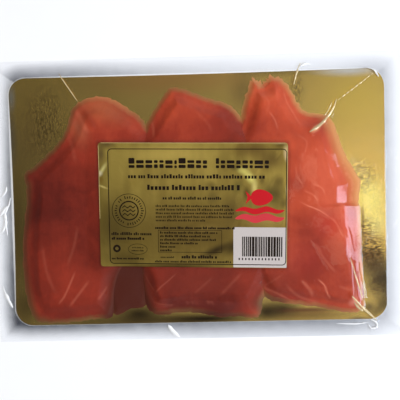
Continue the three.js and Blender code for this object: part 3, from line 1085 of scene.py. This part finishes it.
# Painted shadow beside the card: how much the film there darkens what is under it. The rows of each
# side are places along it, how strongly, how far out and with what power.
PAINTED_MARGIN_SHADOW = {
    "upper": rows("""
        -138 -130 -120  -96  -70  -35    0   35   70  100 125
        0.36 0.56 0.52 0.47 0.38 0.26 0.18 0.12 0.09 0.12 0.2
          10   11   11   11   11   10   10   10   10   10  10
         1.2    1  0.9  0.8  0.8  0.8  0.8  0.8  0.8  0.8 0.8"""),
    "lower": rows("""
        -140  -85 -60    0   60   90  110  135
        0.72 0.66 0.6 0.52 0.45 0.46 0.42 0.24
          12   12  12 13.3   14   14   14   14
         1.4  1.4 1.4  1.1  1.1 1.05 1.05 1.05"""),
    "left": rows("""
         -90  -76  -62  -30  -14    8   60   90
        0.74 0.62 0.74 0.56 0.48 0.58 0.36 0.24
          12   12   12 11.5   11   10  8.5  8.5
         1.4  1.3  1.3  1.4  1.4  1.4  1.4  1.4"""),
    "right": rows("""
         -90   90
        0.27 0.27
          12   12
         1.4  1.4"""),
}

# Pinched folds: half width and height in the middle, how unevenly they are pinched, and path.
FOLDS = {
    "fold_upper_left": (0.42, 0.3, 0.15, points("-98 93  -91.5 83  -84 71.5")),
    "fold_upper_right": (0.42, 0.13, 0.5, points("127 86  118 79.2  107 71.2  100.5 66.5")),
    "fold_upper_right_twin": (0.35, 0.14, 0.3, points("97.5 66  94.5 60  91 55.5")),
    "fold_upper_right_bow": (0.6, 0.22, 0.3, points("100.8 68.5  98.8 63  95 57  90 52")),
    "fold_upper_right_end": (1.05, 0.34, 0.2, points("97 60  92 53.5  86.5 48.8  80 44.8")),
    "fold_upper_edge": (0.6, 0.3, 0.3, points("76 95  73 88  70.5 79")),
    "fold_lower_right": (0.9, 0.35, 0.35,
                         points("107.5 -71.3  112.3 -76.6  117 -81.5  122 -86  127.5 -91.5")),
    "fold_lower_right_start": (0.8, 0.25, 0.4, points("109.5 -76  113 -80.5  117 -84")),
    "fold_lower_right_inner": (0.55, 0.3, 0.35, points("107 -44  109.5 -52  112.5 -61  115 -69  117.5 -78")),
    "fold_lower_right_outer": (0.3, 0.2, 0.3, points("117.6 -60  118.2 -69  118 -78")),
}
# Folds that show as a row of dashes: how many.
DASHED_FOLDS = {"fold_upper_right": 9}
# The folds in the loose margin round the card: half width, height and path.
MARGIN_FOLDS = paths("""
    0.9 0.4  -136 4  -137.5 -2  -140.5 -9  -139 -24
    0.9 0.4  -143 4  -139.5 8  -138.4 12
    1 0.4  -144.5 -10  -140 -4  -137 -2
    1.2 0.4  -143 -22  -140 -14  -141 -6
    1.2 0.4  -144 -61  -141 -69  -137 -77
    1.4 0.35  -23.5 -91.5  -20 -96.5  -15.5 -101
    0.5 0.22  98 -93  112 -93.5  122 -92.5
    0.8 0.5  122 -90  126.5 -92.5  127.5 -96  123.5 -97  121.3 -94
    0.9 0.3  76 92.5  80 94.5  84 93
    0.6 0.3  121 90.6  127 88.6  131 83""")
MARGIN_UNEVENNESS = 0.4
FOLD_STEP = 0.6
# How far the ridge of a fold stands off the film, above and below.
FOLD_LIFT = (0.03, 0.01)
# The share of its width that a fold has at its tips, and how thin and thick it may be elsewhere.
FOLD_TIP = 0.04
FOLD_PINCH = (0.25, 1.9)
FOLD_SECTION = (-1.0, -0.72, -0.45, -0.2, 0.0, 0.2, 0.45, 0.72, 1.0)


def margin_waves(x, y):
    """Slack in the film between the card and the pouch's rim: waves of three lengths, and a ledge
    along the seal on the left side."""
    half_x, half_y = POUCH_SIZE[0] / 2, POUCH_SIZE[1] / 2
    to_rim = np.minimum(half_x - np.abs(x), half_y - np.abs(y))
    beside = ease(0.0, 4.0, to_rim) * (1.0 - ease(-1.5, 0.5, depth_inside_card(x, y)))
    along = np.where(half_x - np.abs(x) < half_y - np.abs(y), y, x)
    ripple = np.sin(along / 6.3 + 1.1) * np.sin(along / 17.0) + 0.6 * np.sin(along / 3.1 + x / 50)
    ledge = 0.15 * ease(SEAL_EDGE - 2.0, SEAL_EDGE + 1.0, to_rim) * (x < 0)
    return beside * (np.where(x < -CARD_SIZE[0] / 2, 0.2, 0.08) * ripple + ledge)


def film_height(x, y):
    return film_level(x, y) + film_wrinkles(x, y) + margin_waves(x, y)


def make_fold(name, half_width, height, unevenness, path, material, rng):
    """A ridge of pinched film that follows a path and tapers at both ends."""
    line = open_curve(path, FOLD_STEP)
    across = leftward(np.gradient(line, axis=0))
    share = np.linspace(0, 1, len(line))
    taper = mix(FOLD_TIP, 1.0, np.sqrt(np.clip(np.sin(math.pi * share), 0.0, 1.0)))
    jitter = np.convolve(rng.standard_normal(len(line) + 4), np.ones(5) / 2.2, mode="valid")
    uneven = np.clip(1.0 + unevenness * jitter, *FOLD_PINCH)
    section = np.array(FOLD_SECTION)
    if name in DASHED_FOLDS:
        taper = taper * np.clip(0.7 + 0.7 * np.sin(2 * math.pi * DASHED_FOLDS[name] * share), 0.15, 1.0)
    offsets = half_width * (taper * uneven ** 0.5)[:, None] * section[None, :]
    plan = (line[:, None, :] + across[:, None, :] * offsets[:, :, None]).reshape(-1, 2)
    base = film_height(*plan.T)
    profile = (1.0 - np.abs(section) ** 1.5) ** 1.2
    ridge = height * (taper * uneven)[:, None] * profile[None, :]
    lift, sink = FOLD_LIFT
    upper = np.column_stack([plan, base + lift + ridge.ravel()])
    lower = np.column_stack([plan, base + sink])
    faces = [face[::-1] for face in sheet_faces(len(section), len(line))]
    fold = make_object(name, np.vstack([upper, lower]), faces, material)


def make_folds():
    """The folds over the pack, in clear film with a warm painted glint, and those of its margin, which look
    whiter, painted almost white as glints.
    """
    rng = np.random.default_rng(FOLD_SEED)
    # Their milky tones are painted glints: warm over the pack, white in the margin.
    material = fold_material("folded_film", 0.4, tone(255, 232, 180), tone(255, 240, 205))
    for name, fold in FOLDS.items():
        make_fold(name, *fold, material, rng)
    white = tone(255, 255, 255)
    material = fold_material("folded_margin_film", 0.9, white, white)
    for number, (half_width, height, path) in enumerate(MARGIN_FOLDS, 1):
        make_fold(f"fold_margin_{number}", half_width, height, MARGIN_UNEVENNESS, path, material, rng)


def mark_margin_shadow(film):
    """Writes into the mesh how much painted shadow darkens the film margin beside the card."""
    x, y = plan_of(film)
    outside = -depth_inside_card(x, y)
    upright = np.abs(y / CARD_SIZE[1]) > np.abs(x / CARD_SIZE[0])
    sides = {"upper": upright & (y > 0), "lower": upright & (y <= 0),
             "left": ~upright & (x <= 0), "right": ~upright & (x > 0)}
    strength, reach, power = np.zeros((3, len(x)))
    for name, on_side in sides.items():
        along = np.where(upright, x, y)[on_side]
        places, *columns = PAINTED_MARGIN_SHADOW[name]
        for values, column in zip((strength, reach, power), columns):
            values[on_side] = np.interp(along, places, column)
    squarely = np.maximum(np.abs(x) - CARD_SIZE[0] / 2, np.abs(y) - CARD_SIZE[1] / 2)
    fading = np.clip(1.0 - mix(squarely, outside, 0.3) / reach, 0.0, 1.0) ** power
    margin_shadow = strength * ease(-0.2, 0.6, outside) * fading
    attribute = film.data.attributes.new("margin_shadow", "FLOAT", "POINT")
    attribute.data.foreach_set("value", margin_shadow.astype(np.float32))


def make_film():
    """The pouch as one closed body: its upper side follows the pack, and its underside is flat."""
    xs, ys = (np.linspace(-size / 2, size / 2, round(size / FILM_STEP) + 1) for size in POUCH_SIZE)
    grid_x, grid_y = (grid.ravel() for grid in np.meshgrid(xs, ys))
    height = film_height(grid_x, grid_y)
    rim = grid_rim(len(xs), len(ys))
    height[rim] = FILM_RIM_HEIGHT
    upper = np.column_stack([grid_x, grid_y, height])
    lower = np.column_stack([grid_x[rim], grid_y[rim], np.full(len(rim), FILM_UNDERSIDE)])
    lower_rim = list(range(len(upper), len(upper) + len(rim)))
    hub = len(upper) + len(lower)
    faces = grid_faces(len(xs), len(ys)).tolist() + wall_faces(rim, lower_rim)
    faces += fan_faces(lower_rim, hub, flipped=True)
    vertices = np.vstack([upper, lower, [[0, 0, FILM_UNDERSIDE]]])
    film = make_object("film", vertices, faces, film_material())
    mark_margin_shadow(film)
    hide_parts("bag")


# --- The label and its print ---

LABEL_LIFT = 0.45
LABEL_THICKNESS = 0.15
LABEL_STEP = 1.2
LABEL_CORNER = 2.0
INK_HEIGHT = 0.035
PRINT_STEP = 1.5
# Small type: how many letters a word has, the share of tall ones, the height of the others and
# the space between words.
WORD_LENGTHS = (2, 9)
TALL_SHARE = 0.25
LOW_LETTER = 0.72
WORD_SPACE = 0.55
# Slight waves of the sheet: direction, length, height and phase.
LABEL_WAVES = [(1, 0.5, 34, 0.07, 0.4), (-0.7, 1, 23, 0.05, 1.9), (1, -0.2, 13, 0.02, 3)]
# A dent where the label's left edge bridges the fish: place, radius and depth.
LABEL_DENT = (-70.0, 21.0, 9.0, 0.35)


def label_height(x, y):
    """Height of the label's face."""
    dent_x, dent_y, radius, depth = LABEL_DENT
    dent = depth * bell(x, y, dent_x, dent_y, radius / 2)
    return film_level(x, y) + LABEL_LIFT + LABEL_THICKNESS + waves(x, y, LABEL_WAVES) - dent


def rounded_outline(x0, y0, x1, y1, radius, side_step=3.0):
    """Points round a rectangle with round corners, close enough to follow a curved sheet."""
    parts = []
    for arc, following in corner_arcs(np.array([x0, y0]), np.array([x1, y1]), radius, 6):
        count = int(math.dist(arc[-1], following[0]) / side_step)
        shares = np.arange(1, count)[:, None] / max(count, 1)
        parts += [arc, mix(arc[-1], following[0], shares)]
    return np.vstack(parts)


def on_label(places, height):
    """Points of the label's own plane, in millimetres, set on its face at a height above it."""
    x, y = label_plan(*np.asarray(places, float).T)
    return np.column_stack([x, y, label_height(x, y) + height])


def make_label():
    """A thin sheet with round corners that lies on the film."""
    xs, ys = (np.linspace(0, side, round(side / LABEL_STEP) + 1) for side in LABEL_SIZE)
    grid = np.column_stack([places.ravel() for places in np.meshgrid(xs, ys)])
    half = np.array(LABEL_SIZE) / 2
    over = np.abs(grid - half) - half + LABEL_CORNER
    reach = np.hypot(*over.T)
    outside = (over > 0).all(axis=1) & (reach > LABEL_CORNER)
    pull = np.where(outside, LABEL_CORNER / np.maximum(reach, LABEL_CORNER), 1.0)[:, None]
    rounded = grid - np.sign(grid - half) * over * (1 - pull)
    sheet = np.vstack([on_label(rounded, height) for height in (0.0, -LABEL_THICKNESS)])
    label = make_object("label_sheet", sheet, sheet_faces(len(xs), len(ys)), label_material())
    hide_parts("label")


class Print:
    """Collects flat printed shapes of one ink into one mesh just above the label."""

    def __init__(self, name, slot, material, shade, layers=1):
        self.name, self.slot, self.height = name, slot, layers * INK_HEIGHT
        self.material = ink_material(material, tone(*shade))
        self.points, self.faces = [], []

    def strip(self, left, right):
        """A band between two lines of points."""
        start = len(self.points)
        self.points += [tuple(point) for pair in zip(left, right) for point in pair]
        for step in range(len(left) - 1):
            base = start + 2 * step
            self.faces.append((base, base + 1, base + 3, base + 2))

    def block(self, x0, y0, x1, y1):
        """A filled rectangle, cut across so that it follows the label."""
        xs, ys = (np.linspace(low, high, max(1, math.ceil((high - low) / PRINT_STEP)) + 1)
                  for low, high in ((x0, x1), (y0, y1)))
        for low, high in zip(ys[:-1], ys[1:]):
            self.strip([(x, high) for x in xs], [(x, low) for x in xs])

    def loop(self, outline, width):
        """A line of a width along a closed outline, inside it."""
        self.strip(closed(outline + inward(outline) * width), closed(outline))

    def fill(self, outline, centre, rings=4):
        """A filled outline that can be seen whole from its centre."""
        arms = closed(outline) - centre
        for ring in range(rings):
            outer, inner = (centre + arms * (1 - place / rings) for place in (ring, ring + 1))
            self.strip(inner, outer)

    def done(self):
        piece = make_object(self.name, on_label(self.points, self.height), self.faces, self.material,
                            smooth=False)


def ellipse(cx, cy, rx, ry, count=48):
    turn = 2 * math.pi * np.arange(count) / count
    return np.column_stack([cx + rx * np.cos(turn), cy + ry * np.sin(turn)])


def type_line(ink, rng, x0, x1, base, size, weight=0.74):
    """Stand-in for a line of small type: words of plain blocks, a few of them taller."""
    x = x0
    letter = size * LOW_LETTER
    while x < x1 - letter:
        for _ in range(rng.integers(*WORD_LENGTHS)):
            if x > x1 - letter * 0.6:
                break
            tall = size * (1.0 if rng.random() < TALL_SHARE else LOW_LETTER)
            wide = letter * rng.uniform(0.75, 1.1)
            ink.block(x, base, min(x + wide * weight, x1), base + tall)
            x += wide
        x += letter * WORD_SPACE


def heavy_word(ink, rng, x0, x1, base, size, count):
    """Stand-in for a heavy word: a row of rounded bars of several widths that spells nothing."""
    widths = rng.uniform(0.6, 1.4, count)
    ends = x0 + np.cumsum(widths) / widths.sum() * (x1 - x0)
    for place, (start, end) in enumerate(zip([x0, *ends[:-1]], ends)):
        top = base + size * (1.0 if place == 0 or rng.random() < 0.12 else 0.78)
        split = base + size * rng.uniform(0.32, 0.46)
        for low, high in ((base, split - 0.45), (split + 0.45, top)):
            bar = rounded_outline(start, low, end - 1.15, high, 0.7, 1.5)
            ink.fill(bar, bar.mean(axis=0))


def print_type(black, rng):
    """The border and the fields of type. The print is a little off centre on the sheet."""
    black.loop(rounded_outline(6.5, 1.9, 132.5, 83.8, 3.0), 0.6)
    heavy_word(black, rng, 21.3, 77.7, 70.1, 7.1, 11)
    heavy_word(black, rng, 82.7, 121.0, 70.1, 7.1, 8)
    black.loop(rounded_outline(41.4, 10.4, 86.9, 26.3, 0.4), 0.32)
    lines = [(20.8, 118, 62.8, 3.0), (34.2, 101.5, 54.6, 3.7), (45, 86.7, 47.9, 2.1)]
    lines += [(40, end, 42.6 - 2.55 * row, 1.6, 0.64) for row, end in enumerate((93, 95, 95.5, 95, 75))]
    lines += [(39.4, 96.5, 27.0, 1.8, 0.85)]
    lines += [(42.8, end, 23.7 - 2.5 * row, 1.6) for row, end in enumerate((84, 78.5, 82.5, 70.5, 55, 51))]
    lines += [(43, 52.7, 6.4, 1.2), (58, 84, 6.2, 2.3, 0.82), (39, 94, 3.2, 1.6),
              (8.1, 37.5, 22.4, 2.1), (8.2, 31.7, 19.1, 2.0, 0.9), (7.9, 31, 5.0, 1.5, 0.8)]
    for line in lines:
        type_line(black, rng, *line)


def print_cut_edge(pale):
    """The paper's pale cut edge, where it catches the light."""
    width, depth = LABEL_SIZE
    near, far, corner = 0.02, 0.42, LABEL_CORNER
    pale.block(near, 34.0, far, depth - corner)
    pale.block(corner, depth - far, width - corner, depth - near)
    pale.block(width - far, corner, width - near, depth - corner)


def print_seals(black, rng):
    """A round seal with short marks between its rings and waves inside, a disc, and an oval."""
    seal = np.array((20.9, 39.8))
    black.loop(ellipse(*seal, 7.0, 7.0), 0.9)
    black.loop(ellipse(*seal, 12.1, 12.1, 72), 0.4)
    for along_x, along_y in ellipse(0, 0, 1, 1, 34):
        side = 0.36 * np.array([-along_y, along_x])
        ends = seal + np.outer([8.6, 8.6 + rng.uniform(1.2, 2.1)], [along_x, along_y])
        if rng.random() < 0.88:
            black.strip(ends + side, ends - side)
    for wave in (-2.7, 0.0, 2.7):
        xs = np.linspace(-4.6, 4.6, 13)
        line = np.column_stack([seal[0] + xs, seal[1] + wave + 0.7 * np.sin(xs * 1.6)])
        black.strip(line + (0, 0.4), line - (0, 0.4))
    black.loop(ellipse(11.7, 12.8, 2.7, 2.7, 32), 1.5)
    black.loop(ellipse(26.6, 12.4, 7.0, 3.9, 40), 0.3)
    type_line(black, rng, 22.6, 31, 13.1, 1.0)
    type_line(black, rng, 22.1, 31, 10.9, 1.0)


def print_code_field(white, black, rng):
    """The white field with its bars, and a row of small blocks in place of figures."""
    white.block(95.0, 0.25, 132.8, 28.6)
    bar = 0.44
    x = 101.2
    while x < 129.0:
        width = bar * rng.choice([1.5, 2, 2, 3, 4])
        black.block(x, 8.0, x + width, 22.0)
        x += width + bar * rng.choice([1, 1, 1, 1.4])
    for place in range(13):
        black.block(98.7 + 2.35 * place, 5.4, 99.6 + 2.35 * place, 7.0)


def print_emblem(red, pink):
    """A plain fish over two wave bands, in two reds."""
    fish = np.array((115.0, 49.6))
    body = ellipse(0, 0, 7.8, 5.6)
    body[:, 1] *= 1 - 0.25 * body[:, 0] / 7.8
    red.fill(fish + body, fish, 6)
    red.fill(fish + points("-6.6 0  -11.4 4.6  -10 0  -11.4 -4.6"), fish - (9.8, 0), 6)
    xs = np.linspace(96.2, 131.2, 36)
    for base, half, ink in ((40.6, 2.1, red), (35.2, 2.7, pink)):
        middle = base + 0.9 * np.sin(xs / 2.6)
        swelling = half * np.sqrt(np.sin(math.pi * (xs - xs[0]) / (xs[-1] - xs[0])).clip(0.0))
        for low, high in ((-1.0, -0.3), (-0.3, 0.3), (0.3, 1.0)):
            ink.strip(np.column_stack([xs, middle + high * swelling]),
                      np.column_stack([xs, middle + low * swelling]))


def make_print():
    rng = np.random.default_rng(PRINT_SEED)
    black = Print("print_black", "print_black", "black_ink", (28, 17, 8), layers=2)
    red = Print("print_red", "print_red", "red_ink", (194, 24, 32))
    pink = Print("print_pink", "print_red", "pink_ink", (204, 58, 64))
    white = Print("print_white", "print_white", "white_ink", (198, 188, 182))
    pale = Print("label_edge", "label_foil", "pale_edge", (182, 160, 104))
    print_cut_edge(pale)
    print_type(black, rng)
    print_seals(black, rng)
    print_code_field(white, black, rng)
    print_emblem(red, pink)
    for ink in (pale, white, pink, red, black):
        ink.done()


# --- Stage, lights and camera ---

FLOOR_SIZE = 6000.0
CAMERA_PLACE = (8.02, 6.49, 321.78)
CAMERA_TURN = (-1.405, 1.053, -1.426)
CAMERA_LENS = 40.0


def make_floor():
    corners = FLOOR_SIZE / 2 * np.array([(-1, -1, 0), (1, -1, 0), (1, 1, 0), (-1, 1, 0)])
    floor = make_object("floor", corners, [(0, 1, 2, 3)], floor_material(), smooth=False)
    floor.parent = None


def add_softbox(name, azimuth, elevation, distance, size, power, colour, in_reflections=True):
    """An area light that looks at the pack, with azimuth 0 along +X, in degrees and metres."""
    light = bpy.data.lights.new(name, "AREA")
    light.shape = "RECTANGLE"
    light.size, light.size_y = size
    light.energy = power
    light.color = colour
    lamp = bpy.data.objects.new(name, light)
    a, e = math.radians(azimuth), math.radians(elevation)
    lamp.location = (distance * math.cos(e) * math.cos(a), distance * math.cos(e) * math.sin(a),
                     distance * math.sin(e))
    lamp.rotation_euler = (-lamp.location).to_track_quat("-Z", "Y").to_euler()
    lamp.visible_glossy = in_reflections
    bpy.context.scene.collection.objects.link(lamp)


def make_lights():
    add_softbox("window", -8.5, 32.5, 1.6, (0.71, 0.887), 18.2, (0.7, 0.8, 1.0))
    add_softbox("window_top", -6, 69.5, 1.6, (0.34, 0.2), 0.42, (1.0, 0.88, 0.66))
    add_softbox("overhead", 0, 90, 1.8, (1.6, 1.6), 26.5, (1.0, 0.99, 0.97), in_reflections=False)
    make_sky([(-0.5, 0.06), (0.0, 0.2), (0.4, 0.5), (0.65, 0.28), (0.9, 0.2)])


def make_sky(greys):
    """An even grey studio round the pack, with a grey level for each place along X."""
    world = bpy.data.worlds.new("studio")
    bpy.context.scene.world = world
    n = Nodes(world, "ShaderNodeOutputWorld")
    along_x = n.add("ShaderNodeSeparateXYZ", {"Vector": n.seen["Generated"]}).outputs["X"]
    share = n.add("ShaderNodeMapRange", {"Value": along_x, "From Min": -1.0}).outputs["Result"]
    stops = [(0.5 + 0.5 * place, (grey, grey, grey * 1.02, 1.0)) for place, grey in greys]
    n.finish(n.add("ShaderNodeBackground", {"Color": n.ramp(share, stops)}))


def make_camera():
    data = bpy.data.cameras.new("camera")
    data.lens = CAMERA_LENS
    data.clip_start = 0.01
    camera = bpy.data.objects.new("camera", data)
    camera.location = [value * MM for value in CAMERA_PLACE]
    camera.rotation_euler = [math.radians(value) for value in CAMERA_TURN]
    bpy.context.scene.collection.objects.link(camera)
    bpy.context.scene.camera = camera


bpy.context.scene.view_settings.view_transform = "Standard"
make_camera()
make_floor()
make_lights()
make_card()
make_slices()
make_film()
make_folds()
make_label()
make_print()
